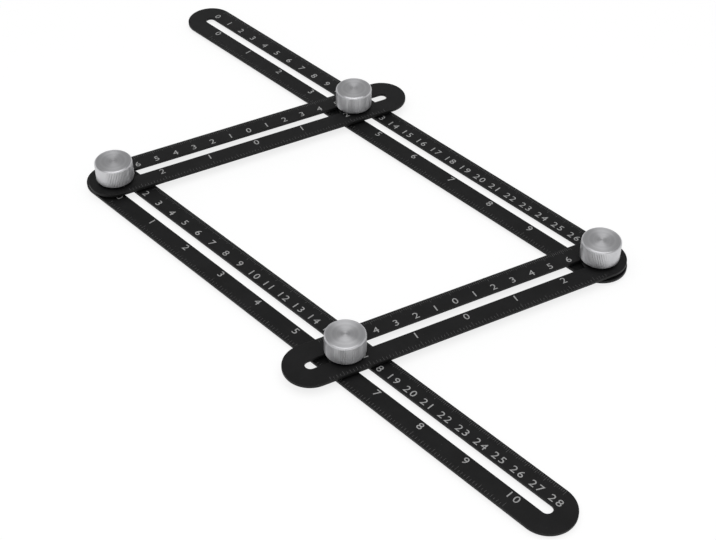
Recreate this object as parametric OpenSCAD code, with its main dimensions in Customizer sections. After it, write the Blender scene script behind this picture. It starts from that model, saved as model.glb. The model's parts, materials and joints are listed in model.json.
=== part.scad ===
// Multi-angle folding ruler. Two long and two short slotted arms cross at four clamp screws,
// each closed by a round knob, so that the frame folds, slides and locks at any angle.
// Millimetres. +X runs along the long arms and +Z is up from the table. The origin lies on the
// table, midway between the outermost ends of the arms. A corner is named for its two arms:
// front or rear for the long one, left or right for the short one.

/* [Arms] */
// Width of every arm
arm_w = 25; // [20:0.5:32]
// Thickness of every arm
arm_t = 1.5; // [1:0.1:3]
// Distance between the two end centres of a long arm
long_cc = 280; // [200:1:400]
// Distance between the two end centres of a short arm
short_cc = 148; // [136:1:200]
// Chamfer along every edge of the arms
arm_chamfer = 0.25; // [0.1:0.05:0.4]

/* [Layout] */
// Angle from the long arms to the short arms, as the ruler lies
fold_angle = 73; // [15:1:165]
// Distance between the two screws of a long arm
long_span = 162.9; // [100:0.1:190]
// Distance between the two screws of a short arm
short_span = 131; // [98:0.5:134]
// From the front arm's left end centre to its left screw
front_left_inset = 3.2; // [0.8:0.1:20]
// From the rear arm's right end centre to its right screw
rear_right_inset = 0.8; // [0.8:0.1:20]
// From the left arm's front end centre to its front screw
left_front_inset = 0.7; // [0.1:0.1:8]
// From the right arm's rear end centre to its rear screw
right_rear_inset = 0.3; // [0.1:0.1:8]

/* [Clamp screws] */
// Diameter over the M5 thread
screw_d = 4.9; // [3.9:0.1:6]
// Diameter of the flat round head
head_d = 13; // [9:0.5:18]
// Thickness of the head
head_t = 1.6; // [1:0.1:3]
// Chamfer round the head's foot
head_chamfer = 0.4; // [0.1:0.1:0.8]
// How much wider the neck's round sides are than the screw
neck_extra = 0.7; // [0.4:0.1:1]
// How far the neck stays below the arm's top face
neck_drop = 0.1; // [0.05:0.05:0.3]
// How far the screw reaches up into the knob
screw_reach = 6.8; // [4:0.1:8]
// Chamfer on the screw's tip
tip_chamfer = 0.5; // [0.2:0.1:0.8]

/* [Washers] */
// Diameter of the spacer washer between two arms
spacer_d = 16; // [10:0.5:20]
// Thickness of the spacer washer
spacer_t = 1.2; // [0.6:0.1:2]
// Diameter of the washer under the knob
washer_d = 15; // [10:0.5:20]
// Thickness of the washer under the knob
washer_t = 1; // [0.6:0.1:2]
// Chamfer on the rims of both washers
washer_chamfer = 0.15; // [0.05:0.05:0.25]

/* [Knobs] */
// Diameter of a knob
knob_d = 18.5; // [15:0.5:24]
// Height of a knob
knob_h = 10; // [9.5:0.5:14]
// Chamfer round the knob's top
knob_top_chamfer = 0.7; // [0.3:0.1:1]
// Chamfer round the knob's foot
knob_foot_chamfer = 0.5; // [0.3:0.1:1]

/* [Clearances] */
// From a screw's thread to each side of a slot
screw_slot_gap = 0.15; // [0.1:0.05:0.3]
// From the flats of a screw's neck to each side of the slot it slides in
neck_slot_gap = 0.1; // [0.05:0.05:0.2]
// From a screw to a bore that turns on it
turn_gap = 0.05; // [0.02:0.01:0.1]
// From the screw's tip to the end of the knob's bore
bore_end_gap = 0.7; // [0.3:0.1:1]

/* [Hidden] */
$fn = 96;

black_anodised = [0.09, 0.09, 0.095];
turned_aluminium = [0.74, 0.74, 0.76];
plated_steel = [0.60, 0.60, 0.62];
black_nylon = [0.14, 0.14, 0.14];

// Widths that the pieces share
arm_r = arm_w / 2;
slot_w = screw_d + 2 * screw_slot_gap;
neck_w = slot_w - 2 * neck_slot_gap;
neck_d = screw_d + neck_extra;
turning_bore_r = screw_d / 2 + turn_gap;
cut_past = 0.5;

// Heights of the stack at a corner, from the table up
long_arm_z = head_t;
spacer_z = long_arm_z + arm_t;
short_arm_z = spacer_z + spacer_t;
washer_z = short_arm_z + arm_t;
knob_z = washer_z + washer_t;
screw_top_z = knob_z + screw_reach;
bore_depth = screw_reach + bore_end_gap;

// Plan of the frame, from the front arm's left end centre
short_dir = [cos(fold_angle), sin(fold_angle)];
front_left = [front_left_inset, 0];
front_right = front_left + [long_span, 0];
rear_left = front_left + short_span * short_dir;
rear_right = front_right + short_span * short_dir;
front_arm_start = [0, 0];
rear_arm_start = rear_right + [rear_right_inset - long_cc, 0];
left_arm_start = front_left - left_front_inset * short_dir;
right_arm_start = rear_right + (right_rear_inset - short_cc) * short_dir;

// The outermost ends of the arms, which set the origin
end_centres = [
    for (start = [front_arm_start, rear_arm_start]) each [start, start + [long_cc, 0]],
    for (start = [left_arm_start, right_arm_start]) each [start, start + short_cc * short_dir]
];
end_xs = [for (e = end_centres) e.x];
end_ys = [for (e = end_centres) e.y];
centre = [(min(end_xs) + max(end_xs)) / 2, (min(end_ys) + max(end_ys)) / 2];

// A height on the plan, measured from the origin
module at(place, z) {
    translate([place.x - centre.x, place.y - centre.y, z]) children();
}

// A half section run from one end centre to the other and turned round both ends
module run_round(length, half_section) {
    for (x = [0, length]) translate([x, 0, 0]) rotate_extrude() polygon(half_section);
    other_half = [for (i = [len(half_section) - 1:-1:0]) [-half_section[i].x, half_section[i].y]];
    rotate([90, 0, 90]) linear_extrude(length) polygon(concat(half_section, other_half));
}

// Half section of a flat bar with all its edges chamfered
function bar_half(half_w, t, chamfer) = [
    [0, 0], [half_w - chamfer, 0], [half_w, chamfer],
    [half_w, t - chamfer], [half_w - chamfer, t], [0, t]
];

// Half section of a slot cutter that flares out through both faces
function slot_half(half_w, t, chamfer, past) = [
    [0, -past], [half_w + chamfer + past, -past], [half_w, chamfer],
    [half_w, t - chamfer], [half_w + chamfer + past, t + past], [0, t + past]
];

// An arm lies from its start along +X, with one slot from end centre to end centre
module slotted_arm(length) {
    color(black_anodised) difference() {
        run_round(length, bar_half(arm_r, arm_t, arm_chamfer));
        run_round(length, slot_half(slot_w / 2, arm_t, arm_chamfer, cut_past));
    }
}

// Flat head, then a neck whose two flats keep it from turning in the long arm's slot, then the thread
module clamp_screw() {
    neck_top = long_arm_z + arm_t - neck_drop;
    color(plated_steel) {
        rotate_extrude() polygon([
            [0, 0], [head_d / 2 - head_chamfer, 0], [head_d / 2, head_chamfer],
            [head_d / 2, head_t], [0, head_t]
        ]);
        intersection() {
            cylinder(d = neck_d, h = neck_top);
            translate([-neck_d, -neck_w / 2, 0]) cube([2 * neck_d, neck_w, neck_top]);
        }
        rotate_extrude() polygon([
            [0, 0], [screw_d / 2, 0], [screw_d / 2, screw_top_z - tip_chamfer],
            [screw_d / 2 - tip_chamfer, screw_top_z], [0, screw_top_z]
        ]);
    }
}

// A ring with chamfered rims that turns on the screw
module washer(diameter, thickness) {
    rim = diameter / 2;
    color(black_nylon) rotate_extrude() polygon([
        [turning_bore_r, 0], [rim - washer_chamfer, 0], [rim, washer_chamfer],
        [rim, thickness - washer_chamfer], [rim - washer_chamfer, thickness],
        [turning_bore_r, thickness]
    ]);
}

// A turned cylinder with a blind threaded bore in its foot
module knob() {
    rim = knob_d / 2;
    color(turned_aluminium) rotate_extrude() polygon([
        [turning_bore_r, 0], [rim - knob_foot_chamfer, 0], [rim, knob_foot_chamfer],
        [rim, knob_h - knob_top_chamfer], [rim - knob_top_chamfer, knob_h],
        [0, knob_h], [0, bore_depth], [turning_bore_r, bore_depth]
    ]);
}

module front_long_arm() at(front_arm_start, long_arm_z) slotted_arm(long_cc);
module rear_long_arm() at(rear_arm_start, long_arm_z) slotted_arm(long_cc);
module left_short_arm() at(left_arm_start, short_arm_z) rotate(fold_angle) slotted_arm(short_cc);
module right_short_arm() at(right_arm_start, short_arm_z) rotate(fold_angle) slotted_arm(short_cc);

module front_left_screw() at(front_left, 0) clamp_screw();
module rear_left_screw() at(rear_left, 0) clamp_screw();
module rear_right_screw() at(rear_right, 0) clamp_screw();
module front_right_screw() at(front_right, 0) clamp_screw();

module front_left_spacer_washer() at(front_left, spacer_z) washer(spacer_d, spacer_t);
module rear_left_spacer_washer() at(rear_left, spacer_z) washer(spacer_d, spacer_t);
module rear_right_spacer_washer() at(rear_right, spacer_z) washer(spacer_d, spacer_t);
module front_right_spacer_washer() at(front_right, spacer_z) washer(spacer_d, spacer_t);

module front_left_knob_washer() at(front_left, washer_z) washer(washer_d, washer_t);
module rear_left_knob_washer() at(rear_left, washer_z) washer(washer_d, washer_t);
module rear_right_knob_washer() at(rear_right, washer_z) washer(washer_d, washer_t);
module front_right_knob_washer() at(front_right, washer_z) washer(washer_d, washer_t);

module front_left_knob() at(front_left, knob_z) knob();
module rear_left_knob() at(rear_left, knob_z) knob();
module rear_right_knob() at(rear_right, knob_z) knob();
module front_right_knob() at(front_right, knob_z) knob();

front_long_arm();
rear_long_arm();
left_short_arm();
right_short_arm();
front_left_screw();
rear_left_screw();
rear_right_screw();
front_right_screw();
front_left_spacer_washer();
rear_left_spacer_washer();
rear_right_spacer_washer();
front_right_spacer_washer();
front_left_knob_washer();
rear_left_knob_washer();
rear_right_knob_washer();
front_right_knob_washer();
front_left_knob();
rear_left_knob();
rear_right_knob();
front_right_knob();
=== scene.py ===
"""Looks of a multi-angle folding ruler: slotted arms, printed scales, knobs, screws and washers.

Lengths are in metres.
"""
import json
import logging
import math
from dataclasses import dataclass
from enum import Enum

import bpy
import numpy as np
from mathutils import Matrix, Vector

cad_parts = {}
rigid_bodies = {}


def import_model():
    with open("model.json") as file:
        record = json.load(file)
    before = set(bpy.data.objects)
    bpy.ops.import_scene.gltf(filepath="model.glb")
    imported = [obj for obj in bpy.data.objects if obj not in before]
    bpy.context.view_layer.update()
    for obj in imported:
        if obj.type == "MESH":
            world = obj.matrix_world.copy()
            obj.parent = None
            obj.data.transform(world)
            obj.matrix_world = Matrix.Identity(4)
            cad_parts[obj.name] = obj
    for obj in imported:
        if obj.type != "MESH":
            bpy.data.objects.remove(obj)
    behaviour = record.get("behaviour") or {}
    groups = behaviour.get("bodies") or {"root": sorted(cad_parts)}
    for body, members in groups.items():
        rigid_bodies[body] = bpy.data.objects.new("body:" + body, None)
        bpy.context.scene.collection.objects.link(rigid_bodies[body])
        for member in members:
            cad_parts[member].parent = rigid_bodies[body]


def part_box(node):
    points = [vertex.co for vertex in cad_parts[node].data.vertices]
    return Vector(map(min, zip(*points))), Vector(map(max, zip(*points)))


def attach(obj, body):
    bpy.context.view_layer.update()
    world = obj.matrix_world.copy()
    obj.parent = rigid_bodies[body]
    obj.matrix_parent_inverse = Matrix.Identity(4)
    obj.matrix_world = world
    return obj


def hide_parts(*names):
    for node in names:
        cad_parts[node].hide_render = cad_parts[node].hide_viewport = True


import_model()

Array = np.ndarray
Triple = tuple[float, float, float]
Material = bpy.types.Material
Node = bpy.types.Node
Piece = bpy.types.Object
Socket = bpy.types.NodeSocket
NO_QUADS = np.zeros((0, 4), int)
NO_TRIANGLES = np.zeros((0, 3), int)
MM = 0.001
ONE_INCH = 0.0254
TURN = 2 * math.pi
CORNERS = ("front_left", "rear_left", "rear_right", "front_right")
UV_MAP = "round_and_along"
log = logging.getLogger("ruler")

# Points on a rounded corner's arc, its points with one support on each side, and the supports' reach
ARC_POINTS = 5
CORNER_POINTS = ARC_POINTS + 2
SUPPORT_REACH = 1.6
# Decimals that tell places on a profile apart, and the least gap between them as a share of a step
DECIMALS = 9
LEAST_GAP = 0.1
# Share of the UV map's height that the fan at a pole takes
CAP_SHARE = 0.01
# A length and a sine that are as good as none
HAIR = 1e-7
LEAST_SINE = 1e-6
# The print's thickness, half of it above the arm's face
PRINT_THICKNESS = 0.02 * MM
# The usual range of a noise, and the colour sockets of a Mix node
NOISE_LOW, NOISE_HIGH = 0.3, 0.7
MIX_A, MIX_B, MIX_RESULT = 6, 7, 2


# Shapes, worked out as whole arrays


@dataclass
class Shape:
    """A surface on its way into a mesh.

    points is (n, 3). quads and triangles index into it. corner_uv holds one (u, v) for each corner of
    each face, quads first. marks are numbers per point that a material reads by name.
    """

    points: Array
    quads: Array
    triangles: Array
    corner_uv: Array
    marks: dict[str, Array]

    def outward(self) -> "Shape":
        """Turn the faces outwards.

        The signed volume is a sixth of the sum of a . (b x c) over the triangles of the faces, and it is
        negative where they face inwards.

        Returns:
            The shape itself, with every face's corners in the right order.
        """
        halves = [self.quads[:, [0, 1, 2]], self.quads[:, [0, 2, 3]], self.triangles]
        a, b, c = np.moveaxis(self.points[np.concatenate(halves)], 1, 0)
        if np.einsum("ij,ij->", a, np.cross(b, c)) < 0:
            cut = 4 * len(self.quads)
            self.quads = self.quads[:, ::-1]
            self.triangles = self.triangles[:, ::-1]
            fours = self.corner_uv[:cut].reshape(-1, 4, 2)[:, ::-1].reshape(-1, 2)
            threes = self.corner_uv[cut:].reshape(-1, 3, 2)[:, ::-1].reshape(-1, 2)
            self.corner_uv = np.concatenate([fours, threes])
        return self


@dataclass(frozen=True)
class Place:
    """Where a piece lies on the model: its own origin, and its heading about +Z in radians."""

    origin: Array
    heading: float = 0.0

    def put(self, points: Array) -> Array:
        """Return points turned about +Z by the heading and moved to the origin."""
        c, s = math.cos(self.heading), math.sin(self.heading)
        return points @ np.array([[c, s, 0], [-s, c, 0], [0, 0, 1]]) + self.origin


def plain_shape(points: Array, quads: Array, triangles: Array) -> Shape:
    """Return a shape without marks and with nothing laid out in its UV map."""
    return Shape(points, quads, triangles, np.zeros((4 * len(quads) + 3 * len(triangles), 2)), {})


def angles_round(columns: int) -> Array:
    """Return the angles of that many columns, evenly once round."""
    return np.arange(columns) * TURN / columns


def wrapped_quads(rows: int, columns: int, close_rows: bool) -> tuple[Array, Array]:
    """Join a grid of points whose columns close on themselves.

    Point (i, j) has the index i * columns + j, and each face joins (i, j), (i, j + 1), (i + 1, j + 1)
    and (i + 1, j), counted modulo the columns and, if the rows close, modulo the rows.

    Args:
        rows: number of rows.
        columns: number of columns.
        close_rows: whether the last row joins the first.

    Returns:
        The faces as (m, 4), and their corners' (u, v) as (4 m, 2), from 0 to 1 each way.
    """
    steps = rows if close_rows else rows - 1
    i, j = np.meshgrid(np.arange(steps), np.arange(columns), indexing="ij")
    i2, j2 = i + 1, j + 1
    low, high = i * columns, (i2 % rows) * columns
    near, far = j, j2 % columns
    quads = np.stack([low + near, low + far, high + far, high + near], -1).reshape(-1, 4)
    u = np.stack([j, j2, j2, j], -1).reshape(-1) / columns
    v = np.stack([i, i, i2, i2], -1).reshape(-1) / steps
    return quads, np.stack([u, v], -1)


def filleted(corners: Array, radius: Array | float) -> tuple[Array, Array]:
    """Round off every corner of a closed profile.

    An arc touches both sides of its corner at radius * tan(turn / 2) from it. A support point lies a
    little further out on each side, so that the flats stay flat under smooth shading.

    Args:
        corners: (n, 2) corners of the profile in order, as distance from the axis and height.
        radius: radius of the arcs, one or one each.

    Returns:
        The rounded profile's points, CORNER_POINTS a corner, and their wear, 1 on an arc and 0 beside it.
    """
    entry = corners - np.roll(corners, 1, 0)
    leave = np.roll(corners, -1, 0) - corners
    entry /= np.linalg.norm(entry, axis=1, keepdims=True)
    leave /= np.linalg.norm(leave, axis=1, keepdims=True)
    turn = np.arccos(np.clip((entry * leave).sum(1), -1, 1))
    side = np.sign(entry[:, 0] * leave[:, 1] - entry[:, 1] * leave[:, 0])
    radius = np.broadcast_to(np.asarray(radius, float), turn.shape)
    reach = (radius * np.tan(turn / 2))[:, None]
    inward = np.stack([-entry[:, 1], entry[:, 0]], 1) * (side * radius)[:, None]
    centre = corners - entry * reach + inward
    angle = (side * turn)[:, None] * np.linspace(0, 1, ARC_POINTS)
    c, s = np.cos(angle), np.sin(angle)
    x, y = -inward[:, :1], -inward[:, 1:]
    arc = centre[:, None] + np.stack([x * c - y * s, x * s + y * c], -1)
    support = SUPPORT_REACH * reach
    before, after = corners - entry * support, corners + leave * support
    points = np.concatenate([before[:, None], arc, after[:, None]], 1)
    wear = np.ones(points.shape[:2])
    wear[:, [0, -1]] = 0
    return points.reshape(-1, 2), wear.reshape(-1)


def densified(profile: Array, wear: Array, step: float) -> tuple[Array, Array]:
    """Add points to an open profile so that none are further apart than step.

    The points lie at their old distances along the profile and at every multiple of step, and between
    the old points both the place and the wear run straight.

    Args:
        profile: (n, 2) points in order.
        wear: (n,) their wear.
        step: largest distance between neighbours.

    Returns:
        The new points and their wear.
    """
    along = np.concatenate([[0], np.cumsum(np.linalg.norm(np.diff(profile, axis=0), axis=1))])
    at = np.union1d(np.round(along, DECIMALS), np.round(np.arange(0, along[-1], step), DECIMALS))
    at = at[np.concatenate([[True], np.diff(at) > LEAST_GAP * step])]
    at[-1] = along[-1]
    r, z = np.interp(at, along, profile[:, 0]), np.interp(at, along, profile[:, 1])
    return np.stack([r, z], -1), np.interp(at, along, wear)


def pole_to_pole(corners: Array, radius: Array | float, step: float) -> tuple[Array, Array]:
    """Make the profile of a turned solid, rounded and densified between its two poles.

    Args:
        corners: (n, 2) corners, of which the first and the last are the poles and stay sharp.
        radius: radius of the arcs, one or one each.
        step: largest distance between neighbouring points.

    Returns:
        The profile's points and their wear.
    """
    profile, wear = filleted(corners, radius)
    inside = slice(CORNER_POINTS, -CORNER_POINTS)
    profile = np.concatenate([corners[:1], profile[inside], corners[-1:]])
    return densified(profile, np.concatenate([[0], wear[inside], [0]]), step)


def carried_ring(profile: Array, wear: Array, centres: Array, outward: Array) -> Shape:
    """Carry a closed profile along a closed path.

    The point is centre + r * outward, raised by z, where (r, z) runs round the profile and the centre and
    its unit outward direction run round the path.

    Args:
        profile: (n, 2) distances from the path's centre and heights.
        wear: (n,) wear of the profile's points.
        centres: (m, 2) the path's centres.
        outward: (m, 2) unit directions.

    Returns:
        The closed surface, with the marks wear and reach, the distance r in millimetres.
    """
    rows, columns = len(profile), len(centres)
    r, z = profile[:, :1], profile[:, 1:]
    plan = centres[None] + r[..., None] * outward[None]
    height = np.broadcast_to(z, (rows, columns))
    points = np.concatenate([plan, height[..., None]], -1).reshape(-1, 3)
    quads, uv = wrapped_quads(rows, columns, close_rows=True)
    marks = {"wear": np.repeat(wear, columns), "reach": np.repeat(profile[:, 0], columns) / MM}
    return Shape(points, quads, NO_TRIANGLES, uv, marks).outward()


def turned_solid(radii: Array, heights: Array, wear: Array) -> Shape:
    """Turn a profile about the axis, from one pole to the other.

    The point is (r cos a, r sin a, z), where a runs once round over the columns and r may change with a.
    The first and the last height are the poles, each a single point on the axis with a fan round it.

    Args:
        radii: (n, m) distance from the axis at each height and angle; the poles' rows aren't used.
        heights: (n,) heights.
        wear: (n,) wear at each height.

    Returns:
        The closed surface, with the marks wear and reach, the distance r in millimetres.
    """
    rows, columns = radii.shape
    angle = angles_round(columns)
    inner = radii[1:-1]
    level = np.repeat(heights[1:-1, None], columns, 1)
    body = np.stack([inner * np.cos(angle), inner * np.sin(angle), level], -1).reshape(-1, 3)
    poles = np.array([[0, 0, heights[0]], [0, 0, heights[-1]]])
    quads, uv = wrapped_quads(rows - 2, columns, close_rows=False)
    near = np.arange(columns)
    far = (near + 1) % columns
    last, pole = columns * (rows - 3), np.full(columns, len(body))
    fans = [np.stack([far, near, pole], -1), np.stack([last + near, last + far, pole + 1], -1)]
    edge = np.array([1, 0, 0.5]) / columns
    u = [near[:, None] / columns + edge, near[:, None] / columns + edge[[1, 0, 2]]]
    v = np.array([[CAP_SHARE, CAP_SHARE, 0], [1 - CAP_SHARE, 1 - CAP_SHARE, 1]])
    cap_uv = np.stack([np.concatenate(u).reshape(-1), np.repeat(v, columns, 0).reshape(-1)], -1)
    marks = {"wear": np.concatenate([np.repeat(wear[1:-1], columns), wear[[0, -1]]]),
             "reach": np.concatenate([inner.reshape(-1), [0, 0]]) / MM}
    points, corner_uv = np.concatenate([body, poles]), np.concatenate([uv, cap_uv])
    return Shape(points, quads, np.concatenate(fans), corner_uv, marks).outward()


def bars(x: Array, near: Array, far: Array, width: float, low: float, high: float) -> Shape:
    """Lay thin closed bars across an arm, one at each x.

    A bar is a box whose eight corners are every choice of x -+ width / 2, near or far, and low or high.

    Args:
        x: (n,) places along the arm.
        near: (n,) where each bar starts across the arm.
        far: (n,) where each bar ends.
        width: width of the bars.
        low: height of their undersides.
        high: height of their faces.

    Returns:
        All bars as one shape.
    """
    side = np.array([-1, 1, 1, -1, -1, 1, 1, -1]) * width / 2
    end = np.array([0, 0, 1, 1, 0, 0, 1, 1])
    along = x[:, None] + side
    across = near[:, None] * (1 - end) + far[:, None] * end
    height = np.broadcast_to(np.repeat([low, high], 4), along.shape)
    box = np.array([[0, 3, 2, 1], [4, 5, 6, 7], [0, 1, 5, 4], [1, 2, 6, 5], [2, 3, 7, 6], [3, 0, 4, 7]])
    faces = np.where((far > near)[:, None, None], box, box[:, ::-1])
    faces = faces + len(side) * np.arange(len(x))[:, None, None]
    points = np.stack([along, across, height], -1).reshape(-1, 3)
    return plain_shape(points, faces.reshape(-1, 4), NO_TRIANGLES)


def joined(shapes: list[Shape]) -> Shape:
    """Put several plain shapes together.

    Args:
        shapes: the shapes.

    Returns:
        One plain shape of all their points and faces, in order.
    """
    starts = np.cumsum([0] + [len(s.points) for s in shapes[:-1]])
    points = np.concatenate([s.points for s in shapes])
    quads = np.concatenate([s.quads + start for s, start in zip(shapes, starts)])
    triangles = np.concatenate([s.triangles + start for s, start in zip(shapes, starts)])
    return plain_shape(points, quads, triangles)


def make_piece(name: str, shape: Shape, place: Place, material: Material, smooth: bool = True) -> Piece:
    """Make a mesh object of a shape at its place, with the object itself at the origin.

    Args:
        name: name of the piece.
        shape: the surface.
        place: where it lies.
        material: its finish.
        smooth: whether it is shaded smooth.

    Returns:
        The new object, linked to the scene.
    """
    mesh = bpy.data.meshes.new(name)
    mesh.from_pydata(place.put(shape.points).tolist(), [], shape.quads.tolist() + shape.triangles.tolist())
    layer = mesh.uv_layers.new(name=UV_MAP)
    layer.data.foreach_set("uv", shape.corner_uv.astype(np.float32).reshape(-1))
    for mark, values in shape.marks.items():
        attribute = mesh.attributes.new(mark, "FLOAT", "POINT")
        attribute.data.foreach_set("value", values.astype(np.float32))
    mesh.polygons.foreach_set("use_smooth", np.full(len(mesh.polygons), smooth))
    mesh.materials.append(material)
    mesh.update()
    piece = bpy.data.objects.new(name, mesh)
    bpy.context.scene.collection.objects.link(piece)
    return piece


# Finishes


class Wiring:
    """Short calls for laying out the nodes of one tree."""

    def __init__(self, tree: bpy.types.NodeTree) -> None:
        """Keep the tree that the nodes go into, and clear it."""
        self.tree = tree
        tree.nodes.clear()

    def feed(self, target: Socket, value: object) -> None:
        """Fill one input.

        Args:
            target: the input.
            value: a socket to link to it, a node whose first output is linked, or a plain value.
        """
        source = value.outputs[0] if isinstance(value, Node) else value
        if isinstance(source, Socket):
            self.tree.links.new(source, target)
        else:
            target.default_value = source

    def fill(self, node: Node, *values: object, **named: object) -> Node:
        """Fill a node's inputs, each with what feed takes.

        Args:
            node: the node.
            values: what goes into its first inputs, in order.
            named: what goes into others, by input name with _ for a space.

        Returns:
            The node.
        """
        for target, value in zip(node.inputs, values):
            self.feed(target, value)
        for key, value in named.items():
            self.feed(node.inputs[key.replace("_", " ")], value)
        return node

    def add(self, kind: str, *values: object, settings: dict[str, object] | None = None,
            **named: object) -> Node:
        """Add a node and fill its inputs.

        Args:
            kind: the node's type, without the word ShaderNode.
            values: inputs in order, as fill takes them.
            settings: the node's own properties.
            named: inputs by name, as fill takes them.

        Returns:
            The node.
        """
        node = self.tree.nodes.new("ShaderNode" + kind)
        for key, value in (settings or {}).items():
            setattr(node, key, value)
        return self.fill(node, *values, **named)

    def plus(self, a: object, b: object) -> Node:
        """Return the node of a plus b."""
        return self.add("Math", a, b, settings={"operation": "ADD"})

    def times(self, a: object, b: object) -> Node:
        """Return the node of a times b."""
        return self.add("Math", a, b, settings={"operation": "MULTIPLY"})

    def larger(self, a: object, b: object) -> Node:
        """Return the node of the larger of a and b."""
        return self.add("Math", a, b, settings={"operation": "MAXIMUM"})

    def spread(self, value: object, low: float, high: float,
               to_low: float = 0.0, to_high: float = 1.0) -> Node:
        """Return the node of value with low..high carried smoothly to to_low..to_high."""
        return self.add("MapRange", settings={"interpolation_type": "SMOOTHSTEP"}, Value=value,
                        From_Min=low, From_Max=high, To_Min=to_low, To_Max=to_high)

    def evened(self, noise: object, to_low: float = 0.0, to_high: float = 1.0) -> Node:
        """Return the node of a noise with its usual range carried smoothly to to_low..to_high."""
        return self.spread(noise, NOISE_LOW, NOISE_HIGH, to_low, to_high)

    def tint(self, share: object, a: object, b: object) -> Socket:
        """Mix two colours.

        Args:
            share: how much of b there is.
            a: the first colour.
            b: the second.

        Returns:
            The colour between them.
        """
        node = self.add("Mix", share, settings={"data_type": "RGBA"})
        self.feed(node.inputs[MIX_A], a)
        self.feed(node.inputs[MIX_B], b)
        return node.outputs[MIX_RESULT]

    def relief(self, shader: Node, height: object, depth: float, strength: float) -> None:
        """Give a shader a bump of that depth and strength."""
        self.fill(shader, Normal=self.add("Bump", Strength=strength, Distance=depth, Height=height))

    def mark(self, name: str) -> Socket:
        """Return the number that a piece's points carry under that name."""
        return self.add("Attribute", settings={"attribute_name": name}).outputs["Fac"]

    def here(self) -> Socket:
        """Return the Object coordinates."""
        return self.add("TexCoord").outputs["Object"]


class Effect(Enum):
    """The shader groups that several finishes share."""

    GRAIN = "fine_grain_and_clouds"
    EDGE_WEAR = "worn_edges"
    LATHE_RINGS = "lathe_rings"
    HANDLING = "handling_marks"


def new_group(effect: Effect, inputs: dict[str, float | None],
              outputs: tuple[str, ...]) -> tuple[Wiring, Node, Node]:
    """Start a shader group.

    Args:
        effect: which group.
        inputs: its inputs and their values, None for a vector.
        outputs: its outputs, all plain numbers.

    Returns:
        The group's wiring, its input node and its output node.
    """
    tree = bpy.data.node_groups.new(effect.value, "ShaderNodeTree")
    for name, value in inputs.items():
        kind = "NodeSocketVector" if value is None else "NodeSocketFloat"
        socket = tree.interface.new_socket(name, in_out="INPUT", socket_type=kind)
        if value is not None:
            socket.default_value = value
    for name in outputs:
        tree.interface.new_socket(name, in_out="OUTPUT", socket_type="NodeSocketFloat")
    return Wiring(tree), tree.nodes.new("NodeGroupInput"), tree.nodes.new("NodeGroupOutput")


@dataclass(frozen=True)
class Effects:
    """Builds each shared shader group once and places it in materials.

    The scales are in cells a metre, apart from cloud_share, a share of the grain's scale, and
    band_scale, in cells a millimetre. A full amount of wear lifts its noise by wear_lift.
    """

    cloud_share: float = 0.02
    patch_scale: float = 900.0
    wear_lift: float = 0.3
    band_scale: float = 0.9
    smudge_scale: float = 38.0
    dust_scale: float = 260.0

    def __post_init__(self) -> None:
        """Build the groups."""
        self.build_grain()
        self.build_edge_wear()
        self.build_lathe_rings()
        self.build_handling()

    def build_grain(self) -> None:
        """Fine pits and grains for bumps, and clouds fifty times as wide for colour."""
        wiring, given, result = new_group(Effect.GRAIN, {"Where": None, "Size": 3000.0}, ("Height", "Cloud"))
        where, size = given.outputs["Where"], given.outputs["Size"]
        fine = wiring.add("TexNoise", Vector=where, Scale=size, Detail=3.0)
        wide = wiring.add("TexNoise", Vector=where, Scale=wiring.times(size, self.cloud_share),
                          Detail=4.0, Roughness=0.6)
        wiring.fill(result, Height=fine, Cloud=wiring.evened(wide))

    def build_edge_wear(self) -> None:
        """Patches along the edges: the wear mark where a noise stands above a threshold."""
        inputs = {"Where": None, "Edge": 0.0, "Amount": 0.5}
        wiring, given, result = new_group(Effect.EDGE_WEAR, inputs, ("Worn",))
        noise = wiring.add("TexNoise", Vector=given.outputs["Where"], Scale=self.patch_scale,
                           Detail=5.0, Roughness=0.65)
        level = wiring.plus(noise, wiring.times(given.outputs["Amount"], self.wear_lift))
        patch = wiring.spread(level, low=0.62, high=0.78)
        edge = wiring.spread(given.outputs["Edge"], low=0.35, high=0.95)
        wiring.fill(result, Worn=wiring.times(patch, edge))

    def build_lathe_rings(self) -> None:
        """Rings that depend on the distance from the axis alone: two noises of one dimension."""
        inputs = {"Reach": 0.0, "Per mm": 6.0}
        wiring, given, result = new_group(Effect.LATHE_RINGS, inputs, ("Height", "Broad"))
        line, reach = {"noise_dimensions": "1D"}, given.outputs["Reach"]
        fine = wiring.add("TexNoise", settings=line, W=reach, Scale=given.outputs["Per mm"], Detail=1.0)
        broad = wiring.add("TexNoise", settings=line, W=reach, Scale=self.band_scale, Detail=2.0)
        wiring.fill(result, Height=fine, Broad=wiring.evened(broad))

    def build_handling(self) -> None:
        """Wide soft smudges with a few small specks of dust."""
        wiring, given, result = new_group(Effect.HANDLING, {"Where": None}, ("Smudge", "Dust"))
        where = given.outputs["Where"]
        smudge = wiring.add("TexNoise", Vector=where, Scale=self.smudge_scale, Detail=3.0, Distortion=0.8)
        dust = wiring.add("TexVoronoi", Vector=where, Scale=self.dust_scale, Randomness=1.0)
        wiring.fill(result, Smudge=wiring.spread(smudge, low=0.42, high=0.62),
                    Dust=wiring.spread(dust, low=0.045, high=0.02))

    def place(self, wiring: Wiring, effect: Effect, **named: object) -> Node:
        """Place a group in a material, with its inputs as fill takes them, and return its node."""
        return wiring.add("Group", settings={"node_tree": bpy.data.node_groups[effect.value]}, **named)


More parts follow.
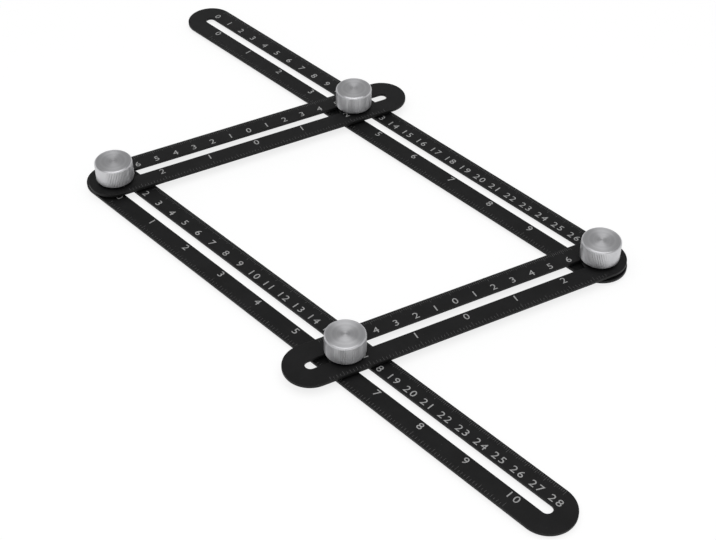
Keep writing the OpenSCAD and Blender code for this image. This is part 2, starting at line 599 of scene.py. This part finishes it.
@dataclass(frozen=True)
class Finish:
    """A surface finish: its name, its colours and how rough it is."""

    name: str
    colour: Triple
    second_colour: Triple
    roughness: float

    def start(self) -> tuple[Material, Wiring, Node]:
        """Make an empty material with its shader.

        Returns:
            The material, its wiring and its Principled shader.
        """
        material = bpy.data.materials.new(self.name)
        material.use_nodes = True
        material.diffuse_color = (*self.colour, 1)
        wiring = Wiring(material.node_tree)
        shader = wiring.add("BsdfPrincipled")
        wiring.add("OutputMaterial", Surface=shader)
        return material, wiring, shader

    def between(self, wiring: Wiring, share: Socket) -> Socket:
        """Return the colour at that share between the first and the second."""
        return wiring.tint(share, (*self.colour, 1), (*self.second_colour, 1))


@dataclass(frozen=True)
class GrainedFinish(Finish):
    """A dull finish: clouds between its two colours, and a fine grain in its gloss and its relief."""

    grain_scale: float = 7000.0
    smoother: float = 0.06
    rougher: float = 0.06
    grain_depth: float = 0.0
    grain_strength: float = 0.4

    def material(self, effects: Effects) -> Material:
        """Build the material, with a bump where the grain has a depth.

        Args:
            effects: the shared shader groups.

        Returns:
            The material.
        """
        material, wiring, shader = self.start()
        grain = effects.place(wiring, Effect.GRAIN, Where=wiring.here(), Size=self.grain_scale)
        height = grain.outputs["Height"]
        rough = wiring.evened(height, self.roughness - self.smoother, self.roughness + self.rougher)
        wiring.fill(shader, Base_Color=self.between(wiring, grain.outputs["Cloud"]), Roughness=rough)
        if self.grain_depth > 0:
            wiring.relief(shader, height, self.grain_depth, self.grain_strength)
        return material


@dataclass(frozen=True)
class Ink(GrainedFinish):
    """Pale printing that is slightly thin in places."""


@dataclass(frozen=True)
class MouldedNylon(GrainedFinish):
    """Matt black nylon with the faint orange peel of a mould."""

    grain_scale: float = 2600.0
    smoother: float = 0.05
    rougher: float = 0.08
    grain_depth: float = 0.01 * MM


@dataclass(frozen=True)
class HandledMetal(Finish):
    """A metal finish with a fine grain, worn edges, smudges and dust."""

    grain_scale: float = 5200.0
    wear_amount: float = 0.15
    smudge_roughness: float = 0.07
    grain_roughness: float = 0.08

    def handle(self, wiring: Wiring, shader: Node, effects: Effects) -> tuple[Node, Node, Node]:
        """Place the marks of use, and make the metal rougher where it is smudged and grained.

        Args:
            wiring: the material's wiring.
            shader: its shader.
            effects: the shared shader groups.

        Returns:
            The nodes of the grain, the worn edges and the handling marks.
        """
        where = wiring.here()
        grain = effects.place(wiring, Effect.GRAIN, Where=where, Size=self.grain_scale)
        worn = effects.place(wiring, Effect.EDGE_WEAR, Where=where, Edge=wiring.mark("wear"),
                             Amount=self.wear_amount)
        handling = effects.place(wiring, Effect.HANDLING, Where=where)
        smudged = wiring.spread(handling.outputs["Smudge"], 0.0, 1.0, self.roughness,
                                self.roughness + self.smudge_roughness)
        grained = wiring.times(grain.outputs["Height"], self.grain_roughness)
        wiring.fill(shader, Roughness=wiring.plus(smudged, grained))
        return grain, worn, handling


@dataclass(frozen=True)
class BlackAnodised(HandledMetal):
    """Satin black anodising on blasted aluminium, worn a little along the edges."""

    gloss: float = 0.20
    grain_depth: float = 0.006 * MM
    grain_strength: float = 0.5
    bare_metal: Triple = (0.07, 0.07, 0.073)
    bareness: float = 0.8
    dust: Triple = (0.12, 0.12, 0.12)
    dust_cover: float = 0.35

    def material(self, effects: Effects) -> Material:
        """Build the material: clouds in the colour, dust on them, and bare metal where it is worn.

        Args:
            effects: the shared shader groups.

        Returns:
            The material.
        """
        material, wiring, shader = self.start()
        grain, worn, handling = self.handle(wiring, shader, effects)
        black = self.between(wiring, grain.outputs["Cloud"])
        covered = wiring.times(handling.outputs["Dust"], self.dust_cover)
        dusty = wiring.tint(covered, black, (*self.dust, 1))
        wiring.fill(shader, Base_Color=wiring.tint(worn, dusty, (*self.bare_metal, 1)),
                    Metallic=wiring.times(worn, self.bareness), Specular_IOR_Level=self.gloss)
        wiring.relief(shader, grain.outputs["Height"], self.grain_depth, self.grain_strength)
        return material


@dataclass(frozen=True)
class TurnedMetal(HandledMetal):
    """Bare or plated metal off a lathe: rings about the axis, soft smudges and brighter edges."""

    grain_scale: float = 6000.0
    wear_amount: float = 1.0
    smudge_roughness: float = 0.08
    grain_roughness: float = 0.06
    worn_brightness: float = 1.12
    rings_per_mm: float = 7.0
    ring_depth: float = 0.004 * MM
    ring_strength: float = 0.6
    grain_share: float = 0.25
    stretch: float = 0.55
    quarter_turn: float = 0.25

    def material(self, effects: Effects) -> Material:
        """Build the material: rings in the colour and the bump, and the gloss drawn out across them.

        Args:
            effects: the shared shader groups.

        Returns:
            The material.
        """
        material, wiring, shader = self.start()
        grain, worn, _ = self.handle(wiring, shader, effects)
        rings = effects.place(wiring, Effect.LATHE_RINGS, Reach=wiring.mark("reach"),
                              Per_mm=self.rings_per_mm)
        metal = self.between(wiring, rings.outputs["Broad"])
        bright = tuple(min(1.0, self.worn_brightness * c) for c in self.colour)
        tangent = wiring.add("Tangent", settings={"direction_type": "UV_MAP", "uv_map": UV_MAP})
        wiring.fill(shader, Base_Color=wiring.tint(worn, metal, (*bright, 1)), Metallic=1.0, Tangent=tangent,
                    Anisotropic=self.stretch, Anisotropic_Rotation=self.quarter_turn)
        grained = wiring.times(grain.outputs["Height"], self.grain_share)
        height = wiring.plus(rings.outputs["Height"], grained)
        wiring.relief(shader, height, self.ring_depth, self.ring_strength)
        return material


# The ruler's pieces


@dataclass(frozen=True)
class Ruling:
    """How a scale is divided: its numbered step, the ticks in a step, and each rank of tick's length."""

    step: float
    parts: int
    ranks: tuple[tuple[int, float], ...]


class Unit(Enum):
    """The two kinds of scale."""

    CENTIMETRE = Ruling(10 * MM, 10, ((1, 1.5 * MM), (5, 2.1 * MM), (10, 2.6 * MM)))
    INCH = Ruling(ONE_INCH, 16, ((1, 1.3 * MM), (2, 1.6 * MM), (4, 1.9 * MM), (8, 2.2 * MM), (16, 2.6 * MM)))


class Side(Enum):
    """The side of the slot that a scale lies on, seen along the arm."""

    LEFT = 1
    RIGHT = -1


@dataclass(frozen=True)
class Scale:
    """One printed scale along one side of an arm's slot.

    zero_at is the place of its 0 from the arm's first end centre. It is numbered from first to last, and
    its ticks run on past both by extra_ticks.
    """

    unit: Unit
    side: Side
    zero_at: float
    first: int
    last: int
    extra_ticks: int = 0

    def numbers(self) -> tuple[list[str], Array]:
        """Return the numbers in order along the arm, and their places."""
        counts = np.arange(self.first, self.last + 1)
        return [str(abs(n)) for n in counts], self.zero_at + counts * self.unit.value.step

    def ticks(self) -> tuple[Array, Array]:
        """Lay out the ticks.

        A tick has the length of the highest rank that its count from 0 is a multiple of.

        Returns:
            Their places along the arm, and their lengths.
        """
        ruling, extra = self.unit.value, self.extra_ticks
        counts = np.arange(self.first * ruling.parts - extra, self.last * ruling.parts + extra + 1)
        length = np.zeros(counts.shape)
        for rank, size in ruling.ranks:
            length = np.where(counts % rank == 0, size, length)
        return self.zero_at + counts * ruling.step / ruling.parts, length


@dataclass
class NumberPress:
    """Makes printed numbers of the built-in typeface, each digit once, drawn out wide and set far apart."""

    digit_height: float = 3.5 * MM
    widening: float = 1.15
    pitch: float = 3.7 * MM
    thickness: float = PRINT_THICKNESS
    curve_steps: int = 3

    def __post_init__(self) -> None:
        """Measure the typeface, so that its digits come out at the height asked for."""
        self.size = 1.0
        self.made: dict[str, Shape] = {}
        tall = np.ptp(self.digit("0").points[:, 1])
        self.size = self.digit_height / float(tall)
        self.made.clear()

    def digit(self, character: str) -> Shape:
        """Make one digit, centred on its own origin, as a flat closed shape.

        Args:
            character: the digit.

        Returns:
            Its shape, kept for the next time.
        """
        if character not in self.made:
            curve = bpy.data.curves.new("number", "FONT")
            curve.body = character
            curve.size = self.size
            curve.resolution_u = self.curve_steps
            curve.extrude = self.thickness / 2
            text = bpy.data.objects.new("number", curve)
            bpy.context.scene.collection.objects.link(text)
            graph = bpy.context.evaluated_depsgraph_get()
            mesh = bpy.data.meshes.new_from_object(text.evaluated_get(graph))
            mesh.calc_loop_triangles()
            points = np.empty(3 * len(mesh.vertices), np.float32)
            mesh.vertices.foreach_get("co", points)
            triangles = np.empty(3 * len(mesh.loop_triangles), np.int32)
            mesh.loop_triangles.foreach_get("vertices", triangles)
            bpy.data.batch_remove([text, curve, mesh])
            points = points.reshape(-1, 3) * np.array([self.widening, 1.0, 1.0])
            points -= (points.min(0) + points.max(0)) / 2
            self.made[character] = plain_shape(points, NO_QUADS, triangles.reshape(-1, 3))
        return self.made[character]

    def line(self, wordings: list[str], x: Array, y: float, z: float) -> Shape:
        """Print numbers in a row, each with its digits one pitch apart about its middle.

        Args:
            wordings: the numbers.
            x: their middles along the arm.
            y: their middle across the arm.
            z: height of the face that they are printed on.

        Returns:
            All of them as one shape.
        """
        moved = []
        for wording, middle in zip(wordings, x):
            for index, character in enumerate(wording):
                shape = self.digit(character)
                at = [middle + (index - (len(wording) - 1) / 2) * self.pitch, y, z]
                moved.append(plain_shape(shape.points + at, shape.quads, shape.triangles))
        return joined(moved)


@dataclass
class SlottedArm:
    """A flat arm with round ends, a slot along its middle and a printed scale on each side of the slot."""

    node: str
    scales: tuple[Scale, ...]
    width: float = 25 * MM
    slot_width: float = 5.2 * MM
    edge_round: float = 0.2 * MM
    end_steps: int = 48
    straight_steps: int = 28
    number_lane: float = 5.4 * MM
    tick_inset: float = 0.45 * MM
    tick_width: float = 0.1 * MM
    print_thickness: float = PRINT_THICKNESS

    def __post_init__(self) -> None:
        """Read the arm's length, heading and heights from its CAD box.

        Round ends touch the box at half a width from each end centre, so the end centres lie half a width
        inside the box's corners. All arms run from the lower left of the plan to its upper right.
        """
        low, high = (np.array(corner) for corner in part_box(self.node))
        self.half_width = self.width / 2
        start, end = low[:2] + self.half_width, high[:2] - self.half_width
        run = end - start
        self.length = float(np.hypot(*run))
        self.thickness = float(high[2] - low[2])
        self.place = Place(np.array([*start, low[2]]), math.atan2(run[1], run[0]))

    def path(self) -> tuple[Array, Array]:
        """Run once round the slot's centre line.

        Along the near side the outward direction is -Y, it turns by half a turn about the far end centre,
        is +Y on the way back, and turns by half a turn about the near end centre.

        Returns:
            The centres and the unit outward directions.
        """
        ease = np.linspace(0, 1, self.straight_steps, endpoint=False)
        turn = np.linspace(-TURN / 4, TURN / 4, self.end_steps, endpoint=False)
        x = np.concatenate([ease * self.length, np.full(self.end_steps, self.length),
                            (1 - ease) * self.length, np.zeros(self.end_steps)])
        angle = np.concatenate([np.full(self.straight_steps, -TURN / 4), turn,
                                np.full(self.straight_steps, TURN / 4), turn + TURN / 2])
        return np.stack([x, np.zeros(x.shape)], -1), np.stack([np.cos(angle), np.sin(angle)], -1)

    def plate(self) -> Shape:
        """Carry the arm's rounded section along the path, from the slot's wall to the outer edge.

        Returns:
            The bare arm.
        """
        inner, outer, top = self.slot_width / 2, self.half_width, self.thickness
        section = np.array([[inner, 0], [outer, 0], [outer, top], [inner, top]])
        return carried_ring(*filleted(section, self.edge_round), *self.path())

    def printing(self, press: NumberPress) -> tuple[Shape, Shape]:
        """Print both scales on the top face, half sunk into it.

        Args:
            press: the press that makes the numbers.

        Returns:
            The numbers as one shape, and the ticks as another.
        """
        numbers, ticks = [], []
        face, half = self.thickness, self.print_thickness / 2
        for scale in self.scales:
            side = scale.side.value
            wordings, at = scale.numbers()
            numbers.append(press.line(wordings, at, side * self.number_lane, face))
            x, length = scale.ticks()
            edge = np.full(x.shape, self.half_width - self.tick_inset)
            inner = side * (edge - length)
            ticks.append(bars(x, side * edge, inner, self.tick_width, low=face - half, high=face + half))
        return joined(numbers), joined(ticks)

    def build(self, press: NumberPress, black: Material, pale: Material, grey: Material) -> list[Piece]:
        """Build and dress the arm.

        Args:
            press: the press that makes the numbers.
            black: finish of the metal.
            pale: ink of the numbers.
            grey: ink of the ticks.

        Returns:
            The arm, its numbers and its ticks.
        """
        arm = make_piece(self.node + "_plate", self.plate(), self.place, black)
        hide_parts(self.node)
        number_shape, tick_shape = self.printing(press)
        numbers = make_piece(self.node + "_numbers", number_shape, self.place, pale, smooth=False)
        ticks = make_piece(self.node + "_ticks", tick_shape, self.place, grey, smooth=False)
        for piece in (arm, numbers, ticks):
            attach(piece, self.node)
        return [arm, numbers, ticks]


@dataclass
class TurnedPart:
    """A piece that is round about a vertical axis at one corner of the ruler."""

    corner: str

    def stand(self, node: str) -> tuple[Place, float, float]:
        """Read a CAD node's axis, height and radius from its box.

        Args:
            node: the CAD node.

        Returns:
            Its place at the bottom of its axis, its height and its outer radius.
        """
        low, high = (np.array(corner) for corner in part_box(node))
        middle = (low + high) / 2
        place = Place(np.array([middle[0], middle[1], low[2]]))
        return place, float(high[2] - low[2]), float(high[0] - low[0]) / 2

    def dress(self, piece: Piece, node: str, slot: str) -> Piece:
        """Let a piece stand for its CAD node and ride on that node's body.

        Args:
            piece: the piece.
            node: the CAD node, whose body has the same name.
            slot: not used.

        Returns:
            The piece.
        """
        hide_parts(node)
        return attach(piece, node)


@dataclass
class Knob(TurnedPart):
    """A turned aluminium knob with a straight knurl, chamfers above and below it, and a blind bore."""

    teeth: int = 72
    steps_per_tooth: int = 6
    knurl_depth: float = 0.22 * MM
    crest_power: float = 0.8
    top_chamfer: float = 0.7 * MM
    foot_chamfer: float = 0.5 * MM
    bore_radius: float = 2.5 * MM
    bore_depth: float = 7.5 * MM
    bore_chamfer: float = 0.3 * MM
    fillet: float = 0.14 * MM
    row_step: float = 0.35 * MM

    def build(self, metal: Material) -> Piece:
        """Turn the knob's profile and cut its knurl.

        The knurl is the smaller of the profile's radius and R - depth * (1 - crest), where the crest is
        (1 + cos(teeth * angle)) / 2 to a power, so the chamfers cut across the teeth.

        Args:
            metal: finish of the knob.

        Returns:
            The knob.
        """
        node = self.corner + "_knob"
        place, height, radius = self.stand(node)
        top, foot, bore, mouth = self.top_chamfer, self.foot_chamfer, self.bore_radius, self.bore_chamfer
        corners = np.array([[0, height], [radius - top, height], [radius, height - top], [radius, foot],
                            [radius - foot, 0], [bore + mouth, 0], [bore, mouth], [bore, self.bore_depth],
                            [0, self.bore_depth]])
        profile, wear = pole_to_pole(corners, self.fillet, self.row_step)
        angle = angles_round(self.teeth * self.steps_per_tooth)
        crest = (0.5 + 0.5 * np.cos(self.teeth * angle)) ** self.crest_power
        ridge = radius - self.knurl_depth * (1 - crest)
        shape = turned_solid(np.minimum(profile[:, :1], ridge), profile[:, 1], wear)
        return self.dress(make_piece(node + "_turned", shape, place, metal), node, "turned_aluminium")


@dataclass
class ClampScrew(TurnedPart):
    """A flat-headed screw: a head, a neck with two flats that ride in the slot, and a thread."""

    head_height: float = 1.58 * MM
    head_chamfer: float = 0.4 * MM
    neck_radius: float = 2.8 * MM
    neck_half_flats: float = 2.5 * MM
    neck_top: float = 3.0 * MM
    thread_radius: float = 2.45 * MM
    thread_pitch: float = 0.8 * MM
    thread_depth: float = 0.36 * MM
    thread_start: float = 0.5 * MM
    thread_end: float = 0.9 * MM
    tip_chamfer: float = 0.5 * MM
    fillet: float = 0.1 * MM
    inner_fillet: float = 0.04 * MM
    row_step: float = 0.1 * MM
    columns: int = 96

    def build(self, metal: Material) -> Piece:
        """Turn the screw, cut the neck's flats and wind the thread.

        On the neck the radius is the smaller of the round one and half_flats / |sin a|. On the thread it is
        the crest's radius less depth * |2 frac(z / pitch - a / turn) - 1|, faded out at both ends. The
        corners at the foot of the thread and of the neck have the inner fillet.

        Args:
            metal: finish of the screw.

        Returns:
            The screw.
        """
        node = self.corner + "_screw"
        place, height, head = self.stand(node)
        neck, thread, under, tip = self.neck_radius, self.thread_radius, self.head_height, self.tip_chamfer
        corners = np.array([[0, height], [thread - tip, height], [thread, height - tip],
                            [thread, self.neck_top], [neck, self.neck_top], [neck, under], [head, under],
                            [head, self.head_chamfer], [head - self.head_chamfer, 0], [0, 0]])
        outer, inner = [self.fillet], [self.inner_fillet]
        fillets = np.array(3 * outer + inner + outer + inner + 4 * outer)
        profile, wear = pole_to_pole(corners, fillets, self.row_step)
        r, z = profile[:, :1], profile[:, 1:]
        angle = angles_round(self.columns)
        flats = self.neck_half_flats / np.maximum(np.abs(np.sin(angle)), LEAST_SINE)
        on_neck = (z >= under - HAIR) & (r <= neck + HAIR) & (r > thread)
        radii = np.where(on_neck, np.minimum(r, flats), r)
        wave = np.abs(2 * ((z / self.thread_pitch - angle / TURN) % 1) - 1)
        start, end = (z - self.neck_top) / self.thread_start, (height - z) / self.thread_end
        fade = np.clip(start, 0, 1) * np.clip(end, 0, 1)
        on_thread = (z > self.neck_top) & (r > thread - tip)
        radii = np.where(on_thread, radii - self.thread_depth * wave * fade, radii)
        shape = turned_solid(radii, profile[:, 1], wear)
        return self.dress(make_piece(node + "_turned", shape, place, metal), node, "plated_steel")


@dataclass
class Washer(TurnedPart):
    """A flat moulded ring with rounded rims."""

    kind: str = "spacer_washer"
    bore_radius: float = 2.5 * MM
    rim: float = 0.2 * MM
    air: float = 0.02 * MM
    columns: int = 96

    def build(self, nylon: Material) -> Piece:
        """Carry the washer's rounded section once round its axis, with air enough to clear the print.

        Args:
            nylon: finish of the washer.

        Returns:
            The washer.
        """
        node = f"{self.corner}_{self.kind}"
        place, height, radius = self.stand(node)
        inner, foot, face = self.bore_radius, self.air, height - self.air
        section = np.array([[inner, foot], [radius, foot], [radius, face], [inner, face]])
        angle = angles_round(self.columns)
        outward = np.stack([np.cos(angle), np.sin(angle)], -1)
        shape = carried_ring(*filleted(section, self.rim), np.zeros(outward.shape), outward)
        return self.dress(make_piece(node + "_moulded", shape, place, nylon), node, "black_nylon")


# The studio


def put_in_scene(data: bpy.types.ID, at: Triple, looks: Vector) -> Piece:
    """Make the object of a lamp or a camera.

    Args:
        data: the lamp or the camera.
        at: where it is.
        looks: the direction that it looks in.

    Returns:
        The object, linked to the scene.
    """
    thing = bpy.data.objects.new(data.name, data)
    thing.location = at
    thing.rotation_mode = "QUATERNION"
    thing.rotation_quaternion = looks.to_track_quat("-Z", "Y")
    bpy.context.scene.collection.objects.link(thing)
    return thing


@dataclass(frozen=True)
class SoftLamp:
    """A round soft lamp that points at the ruler: where it hangs, its width and its power."""

    name: str
    at: Triple
    width: float
    power: float

    def hang(self) -> None:
        """Make the lamp and turn it to the ruler."""
        light = bpy.data.lights.new(self.name, "AREA")
        light.shape = "DISK"
        light.size = self.width
        light.energy = self.power
        put_in_scene(light, self.at, -Vector(self.at))


@dataclass(frozen=True)
class PhotoCamera:
    """The photograph's camera, fitted to the ruler: focal length in pixels of a 716 wide frame."""

    at: Triple = (0.37391, -0.35569, 0.45417)
    looks: Triple = (-0.52389, 0.50767, -0.68397)
    focal_pixels: float = 1435.4
    frame_width: int = 716
    sensor: float = 36.0
    nearest: float = 0.01
    farthest: float = 100.0

    def stand(self) -> None:
        """Make the camera and use it for the scene."""
        data = bpy.data.cameras.new("photo_camera")
        data.sensor_fit = "HORIZONTAL"
        data.sensor_width = self.sensor
        data.lens = self.focal_pixels / self.frame_width * self.sensor
        data.clip_start = self.nearest
        data.clip_end = self.farthest
        bpy.context.scene.camera = put_in_scene(data, self.at, Vector(self.looks))


@dataclass(frozen=True)
class Studio:
    """A white table under a pale room, lit by soft lamps.

    The table's glow is white less a share of shadow_share: near_dimming up to the distance near, where
    the lamp lights it too, and far_dimming from the distance far. The room's light goes from horizon to
    ceiling between the heights low_sky and high_sky, where 1 is straight up.
    """

    table_half_side: float = 30.0
    paper: float = 0.8
    shadow_share: float = 0.25
    white: float = 1.02
    near_dimming: float = 0.9
    far_dimming: float = 0.3
    near: float = 0.5
    far: float = 2.0
    horizon: float = 1.0
    ceiling: float = 0.34
    low_sky: float = 0.12
    high_sky: float = 0.55
    lamps: tuple[SoftLamp, ...] = (
        SoftLamp("overhead_lamp", at=(0.15, -0.15, 1.1), width=1.6, power=8.5),
    )

    def build(self) -> None:
        """Lay the table, paint the room and hang the lamps."""
        bpy.context.scene.view_settings.view_transform = "Standard"
        self.lay_table()
        self.paint_room()
        for lamp in self.lamps:
            lamp.hang()

    def lay_table(self) -> None:
        """Lay the table as one square that stands for nothing of the ruler."""
        s = self.table_half_side
        corners = np.array([[-s, -s, 0], [s, -s, 0], [s, s, 0], [-s, s, 0]])
        shape = plain_shape(corners, np.array([[0, 1, 2, 3]]), NO_TRIANGLES)
        table = make_piece("white_table", shape, Place(np.zeros(3)), self.table_material())

    def table_material(self) -> Material:
        """Make the table's surface: white to the eye and in reflections, with a soft shadow.

        The eye and reflections see a dim surface, which takes the shadow, plus a glow that brings it up to
        white. All other light sees pale paper. From below the table is clear.

        Returns:
            The material.
        """
        material = bpy.data.materials.new("white_table")
        material.use_nodes = True
        wiring = Wiring(material.node_tree)
        ray = wiring.add("LightPath").outputs
        reflected = wiring.larger(ray["Is Glossy Ray"], ray["Is Transmission Ray"])
        seen = wiring.larger(ray["Is Camera Ray"], reflected)
        away = wiring.add("VectorMath", wiring.here(), settings={"operation": "LENGTH"}).outputs["Value"]
        level = wiring.spread(away, self.near, self.far, self.white - self.near_dimming * self.shadow_share,
                              self.white - self.far_dimming * self.shadow_share)
        glow = wiring.add("Emission", Color=(1, 1, 1, 1), Strength=level)
        shaded = wiring.add("BsdfDiffuse", Color=(*(self.shadow_share,) * 3, 1))
        paper = wiring.add("BsdfDiffuse", Color=(*(self.paper,) * 3, 1))
        upper = wiring.add("MixShader", seen, paper, wiring.add("AddShader", shaded, glow))
        back = wiring.add("NewGeometry").outputs["Backfacing"]
        both = wiring.add("MixShader", back, upper, wiring.add("BsdfTransparent"))
        wiring.add("OutputMaterial", Surface=both)
        return material

    def paint_room(self) -> None:
        """Paint the world: white at and below the horizon, fading to a grey ceiling."""
        world = bpy.data.worlds.new("pale_room")
        bpy.context.scene.world = world
        world.use_nodes = True
        wiring = Wiring(world.node_tree)
        up = wiring.add("SeparateXYZ", wiring.add("TexCoord").outputs["Generated"]).outputs["Z"]
        level = wiring.spread(up, self.low_sky, self.high_sky, self.horizon, self.ceiling)
        room = wiring.add("Background", Color=(1, 1, 1, 1), Strength=level)
        wiring.add("OutputWorld", Surface=room)


def main() -> None:
    """Build the ruler and its studio."""
    logging.basicConfig(level=logging.INFO, format="%(name)s: %(message)s")
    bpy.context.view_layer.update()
    effects = Effects()
    black = BlackAnodised("black_anodised", colour=(0.004, 0.004, 0.0042),
                          second_colour=(0.007, 0.007, 0.0074), roughness=0.42).material(effects)
    pale = Ink("pale_number_ink", colour=(0.39, 0.39, 0.39),
               second_colour=(0.31, 0.31, 0.31), roughness=0.55).material(effects)
    grey = Ink("grey_tick_ink", colour=(0.14, 0.14, 0.14),
               second_colour=(0.10, 0.10, 0.10), roughness=0.55).material(effects)
    aluminium = TurnedMetal("turned_aluminium", colour=(0.64, 0.64, 0.655),
                            second_colour=(0.56, 0.56, 0.575), roughness=0.30, stretch=0.75).material(effects)
    steel = TurnedMetal("plated_steel", colour=(0.58, 0.585, 0.60),
                        second_colour=(0.50, 0.505, 0.52), roughness=0.33).material(effects)
    nylon = MouldedNylon("black_nylon", colour=(0.018, 0.018, 0.018),
                         second_colour=(0.026, 0.026, 0.027), roughness=0.52).material(effects)

    long_scales = (Scale(Unit.CENTIMETRE, Side.LEFT, zero_at=0.0, first=0, last=28),
                   Scale(Unit.INCH, Side.RIGHT, zero_at=13.1 * MM, first=0, last=10))
    short_scales = (Scale(Unit.CENTIMETRE, Side.LEFT, zero_at=74.3 * MM, first=-6, last=6, extra_ticks=5),
                    Scale(Unit.INCH, Side.RIGHT, zero_at=73.8 * MM, first=-2, last=2, extra_ticks=12))
    press = NumberPress()
    pieces: list[Piece] = []
    for node, scales in (("front_long_arm", long_scales), ("rear_long_arm", long_scales),
                         ("left_short_arm", short_scales), ("right_short_arm", short_scales)):
        pieces += SlottedArm(node, scales).build(press, black, pale, grey)
    for corner in CORNERS:
        pieces.append(ClampScrew(corner).build(steel))
        pieces.append(Washer(corner).build(nylon))
        pieces.append(Washer(corner, kind="knob_washer").build(nylon))
        pieces.append(Knob(corner).build(aluminium))
    Studio().build()
    PhotoCamera().stand()


if __name__ == "__main__":
    main()
